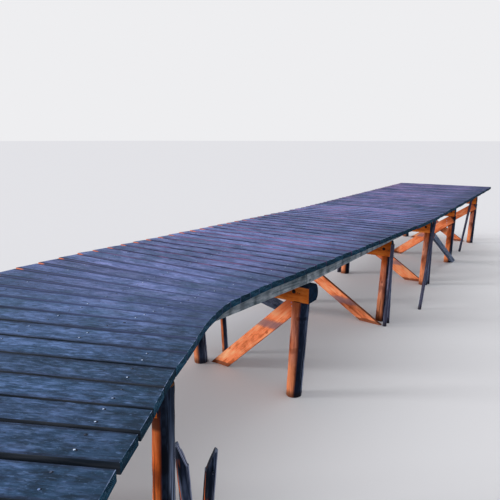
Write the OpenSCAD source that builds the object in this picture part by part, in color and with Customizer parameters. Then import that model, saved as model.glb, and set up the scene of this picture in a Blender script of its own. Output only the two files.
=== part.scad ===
// Wooden jetty: six bays of plank deck on pile bents, with one bend to the right.
// Millimetres, +Z up, Z = 0 at the water line where the piles end.
// +X runs along the main stretch, away from the bend, and +Y to its left.
// The origin is at the foot of the right pile of the middle bent.

/* [Deck] */
// Length of a deck board, which is the width of the jetty
deck_w = 2130; // [1700:10:2600]
// Width of a deck board
board_w = 172; // [140:1:210]
// Width of a board of the near stretch
near_board_w = 178; // [140:1:210]
// Thickness of a deck board
board_t = 50; // [32:1:70]
// Height of the walking surface above the water
deck_h = 1350; // [1000:10:2000]
// Gap between the boards of the near stretch
near_gap = 12; // [6:1:30]
// Gap before the one board of the near stretch that has shifted
wide_gap = 34; // [18:1:50]
// Gap behind it
half_gap = 22; // [18:1:50]
// Width of the narrow board that follows it
narrow_w = 153; // [120:1:200]
// Gap between the tapered boards of the bend
bend_gap = 6; // [3:1:15]
// Gap between the boards of the main stretch
main_gap = 5; // [3:1:15]
// How far the board ends stray from a straight line
ragged = 6; // [0:1:25]
// Overhang of the deck past its first and last bent
deck_over = 250; // [150:10:400]

/* [Course] */
// Direction of the near stretch, measured from the main stretch
near_dir = 27; // [10:1:35]
// Direction of the first bays after the bend
main_dir = -3.5; // [-6:0.5:6]
// Direction of the last bays
far_dir = 1; // [-6:0.5:6]
// Boards of the near stretch
near_boards = 16; // [14:1:18]
// Boards that take part in the bend
bend_boards = 7; // [5:1:9]
// Width left to a bend board at its inner end, with its gap
bend_pitch = 128; // [110:1:150]
// Turn of each of the last near boards towards the bend
near_fan = 1.1; // [0.5:0.1:1.4]
// How many of the near boards are turned so
near_fan_boards = 8; // [4:1:10]

/* [Bents] */
// Length of bay 1
bay_1 = 2448; // [2000:2:2800]
// Length of bay 2, with the bend
bay_2 = 2190; // [1900:10:2500]
// Length of bay 3
bay_3 = 2500; // [1800:10:3000]
// Length of bay 4
bay_4 = 2080; // [1600:10:3000]
// Length of bay 5
bay_5 = 1950; // [1600:10:3000]
// Length of bay 6
bay_6 = 2350; // [1600:10:3000]
// Width of a cap beam, from its sawn front to its round back
cap_w = 195; // [150:1:230]
// Depth of the first cap beams
cap_h = 165; // [120:1:200]
// Diameter of the log that the first cap beams are sawn from
cap_log_d = 220; // [200:1:300]
// Distance of the sawn front from the line of the bent
cap_front = 77; // [50:1:100]
// How far a cap beam runs past the left stringer
cap_over = 30; // [0:1:80]

/* [Stringers] */
// Width of a stringer
stringer_w = 130; // [75:1:160]
// Depth of a stringer
stringer_h = 165; // [120:1:220]
// Clearance between stringers that meet end to end
butt_gap = 4; // [1:1:10]
// How far the stringers stand back from the ends of the deck
end_back = 18; // [6:1:40]
// Distance of the left stringers from the left edge of the deck
left_in = 220; // [150:5:300]
// Distance from the right edge at which the main right stringer reaches the bend's bent
corner_in = 680; // [560:5:800]

/* [Piles] */
// Diameter of a right pile at its foot
pile_d = 155; // [120:1:200]
// Diameter of a left pile at its foot
left_pile_d = 150; // [120:1:200]
// How much slimmer a pile is at its top
pile_taper = 12; // [0:1:30]
// Diameter of the thin pole of bent 3
pole_d = 70; // [50:1:90]
// Diameter of the slender poles of the far bents
slim_pole_d = 48; // [30:1:60]

/* [Braces] */
// Width of a brace board
brace_w = 155; // [100:1:180]
// Thickness of a brace board
brace_t = 48; // [30:1:60]
// Clearance between the cap beams and the top of a brace
brace_drop = 4; // [1:1:20]
// Depth to which a brace is let into a pile
seat_in = 12; // [5:1:20]
// Width of the brace along the right side of bay 5
side_brace_w = 95; // [80:1:160]
// How far that brace runs past the second of its piles
side_brace_past = 120; // [60:5:200]
// Height above the cap beam's underside at which the brace along the left side of bay 3 starts
left_brace_rise = 150; // [60:5:160]

/* [Old piles] */
// Diameter of the first old pile
stub_1_d = 82; // [60:1:140]
// Diameter of the second old pile
stub_2_d = 76; // [60:1:140]
// Height of the old piles
stub_h = 540; // [300:10:700]
// Distance of the old piles past the bend's bent
stub_past = 356; // [340:2:450]
// Slope of the long splinter cut at their tops
splinter = 68; // [50:1:75]

/* [Hidden] */
$fn = 48;

// Heights
board_z = deck_h - board_t;
stringer_z = board_z - stringer_h;

// Boards: each lies between two lines across the deck, and each line has its foot
// on the right edge
first_bend = near_boards;
first_main = near_boards + bend_boards;
shifted_board = 9;
bay_len = [bay_1, bay_2, bay_3, bay_4, bay_5, bay_6];
bay_count = len(bay_len);
bent_count = bay_count + 1;
bend_turn = near_dir - near_fan * near_fan_boards;

function sum_to(v, n) = n <= 0 ? 0 : v[n - 1] + sum_to(v, n - 1);
deck_len = 2 * deck_over + sum_to(bay_len, bay_count);
near_len = near_boards * (near_board_w + near_gap) + wide_gap + half_gap - 2 * near_gap
    + narrow_w - near_board_w;
before_main = near_len + bend_boards * bend_pitch;
main_boards = round((deck_len - before_main) / (board_w + main_gap));
board_count = first_main + main_boards;

// Gap at line k, and the distance from line k to the next along the right edge
function gap(k) = k == shifted_board ? wide_gap : k == shifted_board + 1 ? half_gap
    : k < first_bend ? near_gap : k < first_main ? bend_gap : main_gap;
function width(k) = k == shifted_board + 1 ? narrow_w : k < first_bend ? near_board_w : board_w;
function pitch(k) = k < first_bend || k >= first_main ? width(k) + (gap(k) + gap(k + 1)) / 2 : bend_pitch;

// Direction of the right edge at line k, and the turn of the line itself.
// The course swings from its main to its far direction over a few boards far down the jetty
swing_from = first_main + 20;
swing_to = first_main + 26;
function edge_dir(k) = lookup(k, [
    [first_bend, near_dir], [first_bend + 2, near_dir / 4], [first_main - 1, 0],
    [first_main + 1, main_dir], [swing_from, main_dir], [swing_to, far_dir]]);
function board_turn(k) = lookup(k, [
    [first_bend - near_fan_boards, near_dir], [first_bend, bend_turn], [first_main, 0]]);

// Each line is [distance along the right edge, X, Y, turn]
lines = [for (k = 0, u = 0, x = 0, y = 0;
    k <= board_count;
    x = x + pitch(k) * cos(edge_dir(k)), y = y + pitch(k) * sin(edge_dir(k)), u = u + pitch(k), k = k + 1)
    [u, x, y, board_turn(k)]];
edge_x = [for (l = lines) [l[0], l[1]]];
edge_y = [for (l = lines) [l[0], l[2]]];
edge_turn = [for (l = lines) [l[0], l[3]]];
far_end = lines[board_count][0];

// Bents: each stands across the deck at its distance along the right edge.
// The lists that follow have one value for each bent
bent_at = [for (i = [0:bay_count]) deck_over + sum_to(bay_len, i)];
// Distance of the right stringers, the right piles and the ends of the cap beams from the right edge
stringer_in = [200, 200, 195, 340, 345, 340, 300];
right_pile_in = [200, 143, 185, 340, 345, 340, 300];
cap_in = [110, 150, 68, 270, 305, 290, 250];
// How much slimmer than the widest each cap beam is, and how much deeper than the first
cap_less = [0, 15, 0, 70, 45, 45, 45];
cap_more = [0, 0, 0, 50, 50, 20, 20];
// Distance of the left piles from the left edge
left_pile_in = [220, 240, 640, 310, 345, 250, 230];
// How much thicker or slimmer than the first each right pile is, at its foot and its top
foot_extra = [0, -23, -5, 0, -10, -12, -15];
top_extra = [0, -15, 22, 0, -10, -12, -15];
// How far each right pile's foot stands off its top, along and across the jetty
right_lean = [[15, 20], [-20, 25], [-30, 42], [-15, 30], [20, 35], [-10, 25], [15, 30]];
// The same for the left piles
left_lean = [[-15, -20], [20, 15], [60, -23], [15, -30], [-20, 20], [25, -15], [-10, -25]];

function cap_depth(i) = cap_h + cap_more[i];
function cap_z(i) = stringer_z - cap_depth(i);
function right_d(i) = pile_d + foot_extra[i];
function right_top_d(i) = pile_d - pile_taper + top_extra[i];

// The middle bent's right pile foot is the origin
mid = 3;
function along(u, w) = let (a = lookup(u, edge_turn))
    [lookup(u, edge_x) - w * sin(a), lookup(u, edge_y) + w * cos(a)];
function ahead(u, w, d) = let (a = lookup(u, edge_turn)) along(u, w) + d * [cos(a), sin(a)];
home = ahead(bent_at[mid], right_pile_in[mid] + right_lean[mid][1], right_lean[mid][0]);
function at(u, w, z) = let (p = along(u, w) - home) [p[0], p[1], z];

// Puts its children in the frame of the cross line at distance u along the right edge:
// X along the jetty, Y to the left from the edge
module at_line(u) {
    translate([lookup(u, edge_x) - home[0], lookup(u, edge_y) - home[1], 0])
        rotate([0, 0, lookup(u, edge_turn)]) children();
}

// A bar of plan width w between two cross lines, w_a and w_b from the right edge
module bar(u_a, w_a, u_b, w_b, w, z, h) {
    translate([-home[0], -home[1], z]) linear_extrude(h) polygon([
        along(u_a, w_a - w / 2), along(u_b, w_b - w / 2), along(u_b, w_b + w / 2), along(u_a, w_a + w / 2)]);
}

// A board from one point to another: w is its width on edge and t its thickness
module plank(a, b, w, t) {
    d = b - a;
    translate(a) rotate([0, -atan2(d[2], norm([d[0], d[1]])), atan2(d[1], d[0])])
        translate([0, -t / 2, -w / 2]) cube([norm(d), t, w]);
}

// Keeps what stands between the water and height z
module under(z) {
    reach = deck_len;
    intersection() {
        children();
        translate([-reach, -reach, 0]) cube([2 * reach, 2 * reach, z]);
    }
}

// A round pole between two points, cut level at its foot and its top
module pole(foot, top, d_foot, d_top) {
    d = top - foot;
    more = d_foot;
    slope = (d_foot - d_top) / norm(d);
    intersection() {
        translate(foot) rotate([0, atan2(norm([d[0], d[1]]), d[2]), atan2(d[1], d[0])])
            translate([0, 0, -more]) rotate([0, 0, 90])
                cylinder(h = norm(d) + 2 * more, d1 = d_foot + more * slope, d2 = d_top - more * slope);
        translate([min(foot[0], top[0]) - more, min(foot[1], top[1]) - more, foot[2]])
            cube([abs(d[0]) + 2 * more, abs(d[1]) + 2 * more, d[2]]);
    }
}

module board(k) {
    a = lines[k];
    b = lines[k + 1];
    slide = ragged * sin(97 * k);
    from = [a[1], a[2]] + gap(k) / 2 * [cos(a[3]), sin(a[3])];
    to = [b[1], b[2]] - gap(k + 1) / 2 * [cos(b[3]), sin(b[3])];
    n_a = [-sin(a[3]), cos(a[3])];
    n_b = [-sin(b[3]), cos(b[3])];
    translate([-home[0], -home[1], board_z]) linear_extrude(board_t) polygon([
        from + slide * n_a, to + slide * n_b, to + (deck_w + slide) * n_b, from + (deck_w + slide) * n_a]);
}

module deck_bay(i) {
    low = i == 0 ? -1 : bent_at[i];
    high = i == bay_count - 1 ? far_end : bent_at[i + 1];
    color("slategray") for (k = [0:board_count - 1])
        if (lines[k][0] > low && lines[k][0] <= high) board(k);
}

module stringers_bay(i) {
    u_a = i == 0 ? end_back : bent_at[i] + butt_gap / 2;
    u_b = i == bay_count - 1 ? far_end - end_back : bent_at[i + 1] - butt_gap / 2;
    right_a = i == 1 ? corner_in : stringer_in[i];
    color("darkgray") {
        if (i == 0) near_right_stringer();
        else bar(u_a, right_a, u_b, stringer_in[i + 1], stringer_w, stringer_z, stringer_h);
        bar(u_a, deck_w / 2, u_b, deck_w / 2, stringer_w, stringer_z, stringer_h);
        bar(u_a, deck_w - left_in, u_b, deck_w - left_in, stringer_w, stringer_z, stringer_h);
    }
}

// The near right stringer runs on past its bent until it meets the side of the main one
module near_right_stringer() {
    half = deck_w / 2;
    difference() {
        at_line(end_back) translate([0, stringer_in[0] - stringer_w / 2, stringer_z])
            cube([bent_at[1] + corner_in + half, stringer_w, stringer_h]);
        bar(bent_at[1] - half, corner_in + half, bent_at[2], stringer_in[2] + half,
            deck_w + stringer_w + 2 * butt_gap, stringer_z - 1, stringer_h + 2);
    }
}

// A cap beam is a log, sawn flat on its front, its top and its underside
module cap_beam(i) {
    length = deck_w - left_in + stringer_w / 2 + cap_over - cap_in[i];
    log_d = cap_log_d + 2 * cap_more[i];
    back = cap_w - cap_less[i] - cap_front;
    color("chocolate") at_line(bent_at[i]) translate([0, cap_in[i], cap_z(i)]) intersection() {
        translate([-cap_front, 0, 0]) cube([log_d, length, cap_depth(i)]);
        translate([back - log_d / 2, -1, cap_depth(i) * 0.46]) rotate([-90, 0, 0])
            cylinder(h = length + 2, d = log_d);
    }
}

// The right pile of the bend's bent runs up beside the end of its cap beam to the stringers
module right_pile(i) {
    top = [0, right_pile_in[i], i == 1 ? stringer_z : cap_z(i)];
    foot = [right_lean[i][0], right_pile_in[i] + right_lean[i][1], 0];
    color("peru") difference() {
        at_line(bent_at[i]) pole(foot, top, right_d(i), right_top_d(i));
        braces(i);
        if (i == 1) cap_beam(i);
        if (i == 4 || i == 5) side_brace_bay_5();
    }
}

module left_pile(i) {
    y = deck_w - left_pile_in[i];
    top = [0, y, cap_z(i)];
    foot = [left_lean[i][0], y + left_lean[i][1], 0];
    color("sienna") difference() {
        at_line(bent_at[i]) pole(foot, top, left_pile_d, left_pile_d - pile_taper);
        braces(i);
    }
}

// Braces: each falls from the top of one pile into the water near the other. The rows of a bent give
// the side that a brace falls to, its face of the piles, how far below the cap beam its middle line
// starts, how far short of the other pile it enters the water, how far its foot has swung along the
// jetty, how far it runs past its pile's middle, and how much wider it is than the first
brace_rows = [
    [["left", "front", 60, 410, 0, 25, 0]],
    [["right", "front", 60, 410, 0, 25, 0]],
    [["left", "back", -26, 245, 37, -45, 4]],
    [["right", "front", 120, 110, -120, 25, 0]],
    [["right", "back", 60, 220, 75, 25, 30]],
    [["left", "front", 60, 360, 350, 25, 0]],
    [["left", "front", 60, 300, 0, 25, 0], ["right", "back", 60, 300, 0, 25, 0]]];

// Distance of a brace's middle from the middle of a pile of diameter d
function brace_off(d) = d / 2 - seat_in + brace_t / 2;

module brace(i, row) {
    falls_left = row[0] == "left";
    right = right_pile_in[i];
    left = deck_w - left_pile_in[i];
    off = brace_off(falls_left ? right_top_d(i) : left_pile_d - pile_taper) * (row[1] == "front" ? -1 : 1);
    high = [off, falls_left ? right : left, cap_z(i) - row[2]];
    foot = [off + row[4], falls_left ? left - row[3] : right + row[3], 0];
    on = (high - foot) / norm(high - foot);
    w = brace_w + row[6];
    plank(foot - w * on, high + row[5] * on, w, brace_t);
}

module braces(i) {
    color("sandybrown") at_line(bent_at[i]) under(cap_z(i) - brace_drop)
        for (row = brace_rows[i]) brace(i, row);
}

// A board along a side of the jetty that falls from its high point through the point low, at the water
module side_brace(high, low, w) {
    on = (high - low) / norm(high - low) * w;
    under(board_z - brace_drop) plank(low - on, high, w, brace_t);
}

// Outside the right piles of bay 5 a board falls from one bent to the foot of the next
module side_brace_bay_5() {
    w_a = right_pile_in[4] - brace_off(right_top_d(4));
    w_b = right_pile_in[5] + right_lean[5][1] - brace_off(right_d(5));
    color("slategray") side_brace(at(bent_at[4], w_a, cap_z(4) - side_brace_w / 2),
        at(bent_at[5] + side_brace_past, w_b, 0), side_brace_w);
}

// Outside the left pile of bent 3 a board leaves the back of the cap beam and falls
// into the water inside the next left pile
module side_brace_left_bay_3() {
    w_a = deck_w - left_pile_in[2] + brace_off(left_pile_d);
    w_b = deck_w - left_pile_in[3] - left_pile_d / 2 - brace_t / 2;
    color("dimgray") side_brace(
        at(bent_at[2] + cap_w - cap_front + brace_w / 2, w_a, cap_z(2) + left_brace_rise - brace_w / 4),
        at(bent_at[3] - 2.2 * left_pile_d, w_b, 0), brace_w);
}

// Thin poles: one stands behind bent 3's brace, two before bent 4's right pile, one behind bent 5's
// and one beside bent 5's left pile.
// Each has its bent, its foot and its top along and across from the edge, its top's height and its diameter
pole_3_clear = 118;
pole_3_in = deck_w - left_pile_in[2] - pole_3_clear;
pole_5_clear = 10;
pole_5_in = deck_w - left_pile_in[4] + left_pile_d / 2 + pole_d / 2 + pole_5_clear;
thin = [
    [2, [395, pole_3_in], [395, pole_3_in + 76], board_z, pole_d],
    [3, [-226, 250], [-265, 192], stringer_z, slim_pole_d],
    [3, [-78, 256], [-70, 262], cap_z(3), slim_pole_d],
    [4, [92, 311], [92, 311], cap_z(4), slim_pole_d],
    [4, [left_lean[4][0], pole_5_in + left_lean[4][1]], [0, pole_5_in], cap_z(4), pole_d]];

module thin_poles() {
    color("sienna") for (t = thin) at_line(bent_at[t[0]])
        pole([t[1][0], t[1][1], 0], [t[2][0], t[2][1], t[3]], t[4], t[4] - 2);
}

// Raking poles lean against the underside of the deck in bays 4 and 6.
// Each has its bent, and its foot and its top as distances past the bent and from the edge
raking = [
    [3, [732, 80], [1412, 110]],
    [5, [1164, 345], [784, 127]]];

module raking_poles() {
    color("gray") for (r = raking)
        pole(at(bent_at[r[0]] + r[1][0], r[1][1], 0), at(bent_at[r[0]] + r[2][0], r[2][1], board_z),
            slim_pole_d, slim_pole_d - 2);
}

// Old piles, past the bend's bent: their feet and tops along and across from the deck's edge
stub_1_foot = [-37, 104];
stub_1_top = [-23, 146];
stub_2_foot = [-8, -20];
stub_2_top = [-28, -70];

// An old pile, broken off in long splinters: turn is the side that its long cut faces
module old_pile(foot, top, d, turn) {
    notch = d / 4;
    difference() {
        pole([foot[0], foot[1], 0], [top[0], top[1], stub_h], d, d);
        translate([top[0], top[1], stub_h]) rotate([0, 0, turn]) {
            translate([-notch, -d, 0]) rotate([0, splinter, 0]) cube([2 * d, 2 * d, 4 * d]);
            translate([-notch, -d, 0]) rotate([0, splinter / 2 - 90, 0]) cube([2 * d, 2 * d, 4 * d]);
            translate([-notch / 2, 0, -2 * d]) rotate([splinter / 2 - 45, 0, 0]) cube([notch / 2, d, 3 * d]);
        }
    }
}

module old_piles() {
    color("dimgray") at_line(bent_at[1] + stub_past) {
        old_pile(stub_1_foot, stub_1_top, stub_1_d, -70);
        old_pile(stub_2_foot, stub_2_top, stub_2_d, 110);
    }
}

for (i = [0:bay_count - 1]) {
    deck_bay(i);
    stringers_bay(i);
}
for (i = [0:bent_count - 1]) {
    cap_beam(i);
    right_pile(i);
    left_pile(i);
    braces(i);
}
side_brace_left_bay_3();
side_brace_bay_5();
thin_poles();
raking_poles();
old_piles();
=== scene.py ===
# %% [markdown]
# # A wooden jetty
# The packed model already holds every board, pile and brace at its real place and size. This lesson
# loads it, sets up a camera, and then dresses the timber piece by piece. Each dressed piece starts
# as a copy of its solid, which keeps it on its bearings, and gets the worn edges, bowed faces,
# nails, bolts and grain that the solid leaves out. A plain floor and plain light come last.

# %% Load the jetty
import math

import bpy
import numpy as np
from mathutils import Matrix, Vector
from mathutils.bvhtree import BVHTree


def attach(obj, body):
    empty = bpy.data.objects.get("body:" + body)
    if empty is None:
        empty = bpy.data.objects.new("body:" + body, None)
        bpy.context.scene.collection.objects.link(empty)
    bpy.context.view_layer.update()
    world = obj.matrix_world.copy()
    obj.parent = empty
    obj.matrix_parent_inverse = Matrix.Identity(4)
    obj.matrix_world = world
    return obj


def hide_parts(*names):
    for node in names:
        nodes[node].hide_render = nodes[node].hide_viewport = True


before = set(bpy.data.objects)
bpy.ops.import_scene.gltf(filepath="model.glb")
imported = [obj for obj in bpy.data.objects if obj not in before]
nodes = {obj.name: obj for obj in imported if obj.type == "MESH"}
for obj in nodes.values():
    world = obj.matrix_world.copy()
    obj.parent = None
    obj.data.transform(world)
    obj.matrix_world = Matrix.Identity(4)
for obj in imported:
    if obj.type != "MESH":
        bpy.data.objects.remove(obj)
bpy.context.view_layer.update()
BAYS = range(1, 7)
BENTS = range(1, 8)
print("nodes:", len(nodes))

# %% [markdown]
# ## The camera
# The eye stands 1.10 m above the near stretch of the deck and looks along the jetty, a little down.
# Its heading is measured from the X axis towards the Y axis. A 36 mm lens on a 36 mm sensor gives a
# square view 53 degrees wide.

# %% Camera
EYE = (-6.503, -2.116, 2.45)
HEADING = 33.5
PITCH_DOWN = 12.46
LENS = 36
SENSOR = 36
SIGHT = 2000

bpy.ops.object.select_all(action="DESELECT")
bpy.ops.object.camera_add(location=EYE)
camera = bpy.context.object
camera.name = "camera"
camera.rotation_euler = (math.radians(90 - PITCH_DOWN), 0, math.radians(HEADING - 90))
camera.data.lens = LENS
camera.data.sensor_width = SENSOR
camera.data.clip_end = SIGHT
bpy.context.scene.camera = camera
print("camera at", EYE)

# %% [markdown]
# ## A clean copy of a solid
# A timber could be modelled anew from a cube, but then each of them would need its place and lean
# once more. So each piece starts as a copy of its solid. The solid comes as loose triangles: they
# are merged, and the edges inside flat faces are dissolved, which leaves a plain box or prism that
# can be cut and bevelled. Blender's operators act on whatever is selected, so `pick` first leaves
# one object selected.

# %% Helpers: pick, copy and modify
MERGE_WITHIN = 0.00005
FLAT_WITHIN = math.radians(1)


def pick(piece):
    bpy.ops.object.select_all(action="DESELECT")
    piece.select_set(True)
    bpy.context.view_layer.objects.active = piece


def copy_of(node, name):
    piece = bpy.data.objects.new(name, nodes[node].data.copy())
    bpy.context.collection.objects.link(piece)
    piece.data.materials.clear()
    pick(piece)
    bpy.ops.object.mode_set(mode="EDIT")
    bpy.ops.mesh.select_all(action="SELECT")
    bpy.ops.mesh.remove_doubles(threshold=MERGE_WITHIN)
    bpy.ops.mesh.dissolve_limited(angle_limit=FLAT_WITHIN)
    bpy.ops.object.mode_set(mode="OBJECT")
    if piece.data.has_custom_normals:
        bpy.ops.mesh.customdata_custom_splitnormals_clear()
    return piece


def apply_modifier(piece, kind, **settings):
    pick(piece)
    modifier = piece.modifiers.new(kind.title(), kind)
    for key, value in settings.items():
        setattr(modifier, key, value)
    bpy.ops.object.modifier_apply(modifier=modifier.name)


print("copies merge points within", MERGE_WITHIN * 1000, "mm")

# %% [markdown]
# ## Which way a timber runs
# The grain follows a timber's length, and the boards of the bend each point another way, so no one
# direction serves them all. Every timber's middle line is found from its own corners instead. They
# fall into two ends by their reach along the longest edge, and the middles of the two ends give the
# line, from its foot upwards or from its right end to its left. A log or a splintered stub is no
# box, so there the line keeps the direction of the longest edge.

# %% Helpers: middle lines
UP_OR_LEFT = Vector((0.05, 0.4, 1))
BOX_CORNERS = 8


def loose_parts(mesh):
    parent = list(range(len(mesh.vertices)))

    def root(i):
        while parent[i] != i:
            parent[i] = parent[parent[i]]
            i = parent[i]
        return i

    for edge in mesh.edges:
        parent[root(edge.vertices[0])] = root(edge.vertices[1])
    parts = {}
    for vertex in mesh.vertices:
        parts.setdefault(root(vertex.index), []).append(vertex.index)
    return list(parts.values())


def middle_line(corners, longest_edge):
    axis = longest_edge.normalized()
    if axis.dot(UP_OR_LEFT) < 0:
        axis.negate()
    reach = [corner.dot(axis) for corner in corners]
    half = (min(reach) + max(reach)) / 2
    low = [corner for corner, r in zip(corners, reach) if r < half]
    high = [corner for corner, r in zip(corners, reach) if r >= half]
    start = sum(low, Vector()) / len(low)
    end = sum(high, Vector()) / len(high)
    if len(corners) != BOX_CORNERS:
        end = start + axis * (end - start).length
    return start, end


def middle_lines(piece):
    mesh = piece.data
    parts = loose_parts(mesh)
    owner = {index: number for number, part in enumerate(parts) for index in part}
    longest = [Vector() for _ in parts]
    for edge in mesh.edges:
        start, end = (mesh.vertices[i].co for i in edge.vertices)
        number = owner[edge.vertices[0]]
        if (end - start).length > longest[number].length:
            longest[number] = end - start
    return [middle_line([mesh.vertices[i].co for i in part], edge)
            for part, edge in zip(parts, longest)]


print("a middle line starts at a timber's foot or right end")

# %% [markdown]
# ## A map of the grain
# A shader can follow the grain where a UV map is laid out in metres. The finished mesh gets one
# called grain, along and across each timber, and every timber and piece has a stretch of it to
# itself, so that no two look alike. A second map, section, starts from the heart of the timber, for
# growth rings. With them go a point's distance along the timber, across it and from its nearer end,
# and a tone that is each timber's own.

# %% Helpers: the grain map
NEXT_ALONG = 3.7
NEXT_ACROSS = 0.83
NEXT_PIECE = 11
TONE_SEED = 5
UPRIGHT = 0.9


def points_of(mesh):
    flat = np.empty(len(mesh.vertices) * 3)
    mesh.vertices.foreach_get("co", flat)
    return flat.reshape(-1, 3)


def timber_of(mesh, lines):
    points = points_of(mesh)
    middles = np.array([(start + end) / 2 for start, end in lines])
    owner = np.zeros(len(points), int)
    for part in loose_parts(mesh):
        centre = points[part].mean(axis=0)
        owner[part] = np.linalg.norm(middles - centre, axis=1).argmin()
    return owner


def point_value(mesh, name, values):
    attribute = mesh.attributes.new(name, "FLOAT", "POINT")
    attribute.data.foreach_set("value", values.astype(np.float32))


def corner_map(mesh, name, first, second):
    corners = np.empty(len(mesh.loops), np.int32)
    mesh.loops.foreach_get("vertex_index", corners)
    pairs = np.stack([first[corners], second[corners]], 1)
    mesh.uv_layers.new(name=name).data.foreach_set("uv", pairs.ravel().astype(np.float32))


def lay_grain(piece, lines, seed):
    mesh = piece.data
    points = points_of(mesh)
    owner = timber_of(mesh, lines)
    along, across, up, to_end = (np.zeros(len(points)) for _ in range(4))
    for number, (start, end) in enumerate(lines):
        axis = np.array((end - start).normalized())
        side = np.cross(axis, (0, 0, 1) if abs(axis[2]) < UPRIGHT else (1, 0, 0))
        side /= np.linalg.norm(side)
        mine = owner == number
        offset = points[mine] - np.array(start)
        along[mine] = offset @ axis
        across[mine] = offset @ side
        up[mine] = offset @ np.cross(side, axis)
        to_end[mine] = np.minimum(along[mine], along[mine].max() - along[mine])
    corner_map(mesh, "grain", along + NEXT_ALONG * owner + NEXT_PIECE * seed,
               across + up + NEXT_ACROSS * owner)
    corner_map(mesh, "section", across, up)
    tones = np.random.default_rng(seed + TONE_SEED).uniform(-1, 1, len(lines))
    point_value(mesh, "tone", tones[owner])
    point_value(mesh, "along", along)
    point_value(mesh, "end", to_end)
    point_value(mesh, "across", across)
    return owner, across


print("the grain map moves on by", NEXT_ALONG, "m for each timber")

# %% [markdown]
# ## Cuts, worn edges and bowed faces
# A sawn timber is a box, and a box with eight corners can't bend. So its long edges are cut into
# short steps first. Then a bevel rounds its edges, as weather and feet do, and a soft cloud pushes
# its faces in and out, so that no timber is quite straight. Sculpting could do that for one board.
# The modifiers do it for all of them, and give the same shape each time.

# %% Helpers: cut, wear and bow
WORN_FROM = math.radians(35)


def cut_edges(piece, shortest, longest, cuts):
    pick(piece)
    bpy.ops.object.mode_set(mode="EDIT")
    bpy.ops.mesh.select_mode(type="EDGE")
    bpy.ops.mesh.select_all(action="DESELECT")
    bpy.ops.object.mode_set(mode="OBJECT")
    points = piece.data.vertices
    for edge in piece.data.edges:
        start, end = (points[i].co for i in edge.vertices)
        edge.select = shortest < (end - start).length < longest
    bpy.ops.object.mode_set(mode="EDIT")
    bpy.ops.mesh.subdivide(number_cuts=cuts)
    bpy.ops.object.mode_set(mode="OBJECT")


def wear_edges(piece, width):
    apply_modifier(piece, "BEVEL", width=width, segments=2, limit_method="ANGLE",
                   angle_limit=WORN_FROM)


def bow(piece, strength, size, direction="NORMAL"):
    texture = bpy.data.textures.new("bow", "CLOUDS")
    texture.noise_scale = size
    texture.noise_depth = 1
    apply_modifier(piece, "DISPLACE", texture=texture, texture_coords="UV", uv_layer="grain",
                   strength=strength, mid_level=0.5, direction=direction)
    bpy.data.textures.remove(texture)


print("edges sharper than", round(math.degrees(WORN_FROM)), "degrees get worn")

# %% [markdown]
# ## A finish for each face
# The sawn ends of a timber look unlike its faces, and a deck board shows four kinds of face: top,
# side, sawn end, and the worn edge of that end. One material could tell them apart by itself, but
# separate ones are easier to read and to change. They are handed out by how far a face looks along
# its timber. `place` then hides the node that the piece stands for, and hangs the piece on the root
# body.

# %% Helpers: face materials and the link to the frame
TOP, SIDE, END, EDGE = range(4)


def face_of_beam(lengthwise, normal):
    return int(lengthwise > 0.75)


def face_of_board(lengthwise, normal):
    if lengthwise > 0.85:
        return END
    if lengthwise > 0.3 and normal.z > 0.3:
        return EDGE
    return SIDE if abs(normal.z) < 0.6 else TOP


def sort_faces(piece, lines, finishes, kind=face_of_beam):
    mesh = piece.data
    mesh.materials.clear()
    for finish in finishes:
        mesh.materials.append(finish)
    owner = timber_of(mesh, lines)
    axes = [(end - start).normalized() for start, end in lines]
    for face in mesh.polygons:
        lengthwise = abs(face.normal.dot(axes[owner[face.vertices[0]]]))
        face.material_index = kind(lengthwise, face.normal)


def place(piece, slot, *replaced):
    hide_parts(*replaced)
    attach(piece, "root")


print("a deck board has", EDGE + 1, "kinds of face")

# %% [markdown]
# ## Colours
# The colours below are written as red, green and blue from 0 to 255, as a picture holds them. A
# shader works in linear light, so `colour` takes each value through the sRGB curve first.

# %% Helpers: colours
def linear(value):
    return ((value / 255 + 0.055) / 1.055) ** 2.4 if value > 10 else value / 255 / 12.92


def colour(red, green, blue):
    return linear(red), linear(green), linear(blue), 1


def shades(*colours):
    return [colour(*rgb) for rgb in colours]


print("mid grey in linear light:", round(linear(128), 3))

# %% [markdown]
# ## A small kit for materials: where a point lies
# Each finish is a tree of nodes, and one that is linked node by node is hard to follow. So the few
# steps that timber needs get names. The first ones read where a point of the surface lies: on one
# of its two maps, in the model, or by a value that is stored on its mesh. They also read which way
# it faces. Every input takes either a fixed value or the output of another node.

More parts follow.
